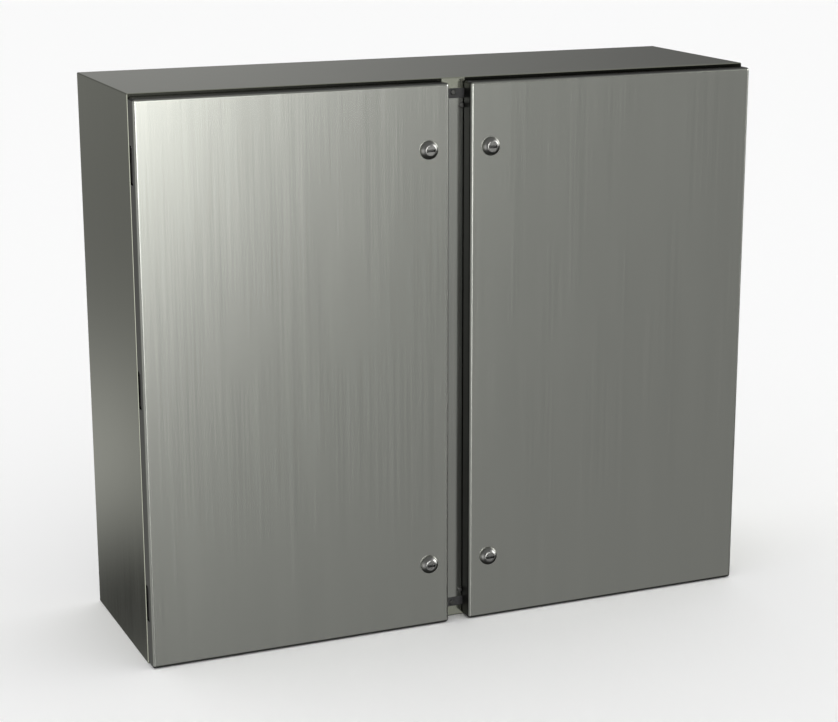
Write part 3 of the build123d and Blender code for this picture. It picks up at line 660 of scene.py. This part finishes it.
def head_outline(foot_y, top_y, start, end, steps):
    """Points of the head's outline between two radii: a flat face and a rounded rim."""
    flat = HEAD_RADIUS - HEAD_ROUNDING
    fall = foot_y - HEAD_WALL - top_y
    points = []
    for i in range(steps + 1):
        radius = start + (end - start) * math.sin(math.pi / 2 * i / steps)
        across = max(0.0, radius - flat) / HEAD_ROUNDING
        round_over = 1.0 - math.sqrt(max(0.0, 1.0 - across ** 2))
        y = top_y + fall * (RIM_CONE * across + (1.0 - RIM_CONE) * round_over)
        points.append((radius, y))
    return points


def head_profile(door_y, top_y, end_y):
    """Outline of a housing: bored head, rounded rim, plain neck through the door, threaded barrel."""
    points = [(CORE_HOLE, door_y - HEAD_LEDGE), (FACE_HOLE, door_y - HEAD_LEDGE)]
    points += head_outline(door_y, top_y, FACE_HOLE, HEAD_RADIUS, HEAD_STEPS)
    points += [(HEAD_RADIUS, door_y), (BARREL_RADIUS, door_y), (BARREL_RADIUS, door_y + DOOR_SHEET)]
    thread_y = door_y + THREAD_START
    for turn in range(int((end_y - thread_y) / THREAD_PITCH)):
        crest = thread_y + turn * THREAD_PITCH
        root = crest + THREAD_PITCH / 2
        points += [(BARREL_RADIUS, crest), (BARREL_RADIUS - THREAD_DEPTH, root)]
    return points + [(BARREL_RADIUS - THREAD_DEPTH, end_y), (CORE_HOLE, end_y)]


def core_profile(door_y, top_y, end_y):
    """Outline of a core: a face that carries on the head's, and a plain shaft to the cam."""
    points = head_outline(door_y, top_y, 0.0, FACE_RADIUS, FACE_STEPS)
    points += [(FACE_RADIUS, door_y - CORE_LEDGE), (CORE_RADIUS, door_y - CORE_LEDGE)]
    return points + [(CORE_RADIUS, end_y), (0.0, end_y)]


for side in SIDES:
    door_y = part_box(f"{side}_door")[0].y
    for level in LOCK_LEVELS:
        lock = f"{side}_{level}_lock"
        low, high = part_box(f"{lock}_housing")
        centre = (low + high) / 2
        head = as_piece(
            f"{lock}_head", turned(head_profile(door_y, low.y, high.y), centre), satin_head,
            f"{side}_door_leaf", f"{lock}_housing",
        )
        shade_flats(head, 50.0)
        top_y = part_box(f"{lock}_core")[0].y
        cam_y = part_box(f"{lock}_cam")[0].y
        core = as_piece(
            f"{side}_{level}_slotted_core", turned(core_profile(door_y, top_y, cam_y - HAIR), centre),
            satin_head, lock, f"{lock}_core",
        )
        slot = bmesh.new()
        block(
            slot,
            (centre.x - 2 * FACE_RADIUS, top_y - MILLIMETRE, centre.z - SLOT_WIDTH / 2),
            (centre.x + 2 * FACE_RADIUS, top_y + SLOT_DEPTH, centre.z + SLOT_WIDTH / 2),
        )
        cut_away(core, slot, lining=slot_shade_lining)
        shade_flats(core, 50.0)

# ---------------------------------------------------------------- parts shown as machined or folded
# Everything else keeps its own shape: the post, plates, hinges, studs, screws and rails, each in the
# finish it is supplied in, except the hinges and the post's screws, which are made dark as painted
# shade.
grained_body = grained_metal(
    "brushed_stainless_fittings", metal=(0.46, 0.468, 0.43), stretch=(300.0, 300.0, 5.0), rough=0.24,
    cloud=(5.0, 0.08),
)
galvanised = grained_metal(
    "galvanised_plate", metal=(0.60, 0.62, 0.63), stretch=(55.0, 55.0, 55.0), rough=0.42, tone=0.22,
    rough_spread=0.20, cloud=(9.0, 0.12), bump=0.03,
)
zinc = grained_metal(
    "zinc_plated_fixings", metal=(0.63, 0.64, 0.62), stretch=(500.0, 500.0, 90.0), rough=0.28,
    tone=0.14, cloud=(40.0, 0.10),
)
# Painted shade: the hinges stand in the dark gaps beside the doors and are made near black for that
# shade.
hinge_steel = grained_metal(
    "hinges_dark_as_painted_shade", metal=(0.045, 0.045, 0.044), stretch=(260.0, 260.0, 260.0), rough=0.42,
    tone=0.3, cloud=(50.0, 0.12), bump=0.05,
)
black_rubber = matt_black("black_rubber", tone=0.045, rough=0.60, grit=500.0)
# Painted shade: the post's screws sit in the shaded gap between the doors and are made dark for that
# shade.
screws_dark_for_shade = grained_metal(
    "post_screws_painted_shade", metal=(0.09, 0.09, 0.085), stretch=(500.0, 500.0, 90.0), rough=0.40,
    tone=0.25, cloud=(60.0, 0.12),
)
finishes = {
    "stainless_body": grained_body,
    "galvanised_plate": galvanised,
    "rail_zinc": zinc,
    "zinc_fixings": zinc,
    "hinge_steel": hinge_steel,
    "rubber": black_rubber,
}
slots = {part["node"]: part["material_slot"] for part in frame["record"]["subparts"]}
for name, node in frame["nodes"].items():
    if node.hide_render:
        continue
    for slot_in_node in node.material_slots:
        slot_in_node.material = screws_dark_for_shade if name == "post_screws" else finishes[slots[name]]

# ---------------------------------------------------------------- floor
# The studio's pale, matt floor, one large sheet. It is kept out of what the metal mirrors, so that the
# darker surround shows there instead.
FLOOR_HALF = 60.0
pale, pale_surface = new_material("pale_floor")
pale_surface.inputs["Base Color"].default_value = (0.975, 0.975, 0.975, 1.0)
pale_surface.inputs["Roughness"].default_value = 1.0
sheet = bmesh.new()
bmesh.ops.create_grid(sheet, x_segments=1, y_segments=1, size=FLOOR_HALF)
floor = as_object("floor", sheet, pale)
floor.visible_glossy = False

# ---------------------------------------------------------------- light
# A white surround lights the room evenly. What the metal mirrors is a studio instead: a grey wall
# with a lit band, softboxes, black flags that darken it, and a bounce card.
DARKEST = 0.03
WALL_TONES = (  # height from 0 straight down to 1 straight up, and brightness
    (0.20, 0.05), (0.30, 0.284), (0.47, 0.284), (0.53, 0.10), (0.62, 0.11), (0.72, 0.26), (1.0, 0.30),
)
GLOWS = (  # azimuth, elevation and width in degrees, and strength
    (1.1, 2.3, 7.7, 12.0),  # key softbox, straight out of the front
    (-66.0, -8.0, 15.5, 1.40),  # large softbox on the left
    (64.0, 14.0, 10.0, 11.0),  # softbox high on the right
    (82.0, -17.0, 15.0, -1.1),  # black flag below it
    (-166.0, -16.9, 2.3, 0.18),  # bounce card behind on the left
    (166.0, 7.0, 9.0, 0.17),  # paler wall behind
    (-165.0, -20.7, 1.7, -0.23),  # black flags behind on the left
    (-165.0, -27.0, 3.5, -0.04),
    (-165.0, -12.0, 9.0, -0.13),
)
MIX_FIRST, MIX_SECOND, MIX_RESULT = 6, 7, 2  # a mix node's sockets for colours
world = bpy.data.worlds.new("studio")
bpy.context.scene.world = world
world.use_nodes = True
studio = world.node_tree
outlook = studio.nodes.new("ShaderNodeTexCoord").outputs["Generated"]


def heading(azimuth, elevation):
    """Unit vector; azimuth 0 is straight out of the front and grows to the right."""
    turn, rise = math.radians(azimuth), math.radians(elevation)
    return (math.sin(turn) * math.cos(rise), -math.cos(turn) * math.cos(rise), math.sin(rise))


def soft_glow(azimuth, elevation, width, strength):
    """A round glow in the surround that fades smoothly to all sides."""
    facing = studio.nodes.new("ShaderNodeVectorMath")
    facing.operation = "DOT_PRODUCT"
    facing.inputs[1].default_value = heading(azimuth, elevation)
    studio.links.new(outlook, facing.inputs[0])
    sharpness = 1.0 / math.radians(width) ** 2
    fall = calculated(studio, "MULTIPLY_ADD", facing.outputs["Value"], sharpness, -sharpness)
    return calculated(studio, "MULTIPLY", calculated(studio, "EXPONENT", fall), strength)


height = studio.nodes.new("ShaderNodeSeparateXYZ")
studio.links.new(outlook, height.inputs[0])
wall = studio.nodes.new("ShaderNodeValToRGB")
studio.links.new(ramp(studio, height.outputs["Z"], -1.0, 1.0), wall.inputs["Fac"])
tones = wall.color_ramp.elements
for i, (position, level) in enumerate(WALL_TONES):
    tone = tones[i] if i < len(tones) else tones.new(position)
    tone.position = position
    tone.color = (level, level, level, 1.0)
room = wall.outputs["Color"]
for glow in GLOWS:
    room = calculated(studio, "ADD", room, soft_glow(*glow))
seen = studio.nodes.new("ShaderNodeLightPath")
surround = studio.nodes.new("ShaderNodeMix")
surround.data_type = "RGBA"
studio.links.new(seen.outputs["Is Glossy Ray"], surround.inputs[0])
surround.inputs[MIX_FIRST].default_value = (1.0, 1.0, 1.0, 1.0)
studio.links.new(calculated(studio, "MAXIMUM", room, DARKEST), surround.inputs[MIX_SECOND])
studio.links.new(surround.outputs[MIX_RESULT], studio.nodes["Background"].inputs["Color"])

# ---------------------------------------------------------------- camera
# A long lens, in front of the cabinet, to its left and a little above it. A small shift of the lens
# centres the cabinet in the picture.
YAW = 0.4080
PITCH = -0.2585
camera_data = bpy.data.cameras.new("camera")
camera_data.sensor_width = 36.0
camera_data.lens = 88.74
camera_data.shift_x = -0.0192
camera_data.shift_y = 0.0175
camera = bpy.data.objects.new("camera", camera_data)
camera.location = (-1.336, -3.1522, 1.2956)
gaze = Vector((math.sin(YAW) * math.cos(PITCH), math.cos(YAW) * math.cos(PITCH), math.sin(PITCH)))
camera.rotation_euler = gaze.to_track_quat("-Z", "Y").to_euler()
scene = bpy.context.scene
scene.collection.objects.link(camera)
scene.camera = camera
scene.view_settings.view_transform = "Standard"
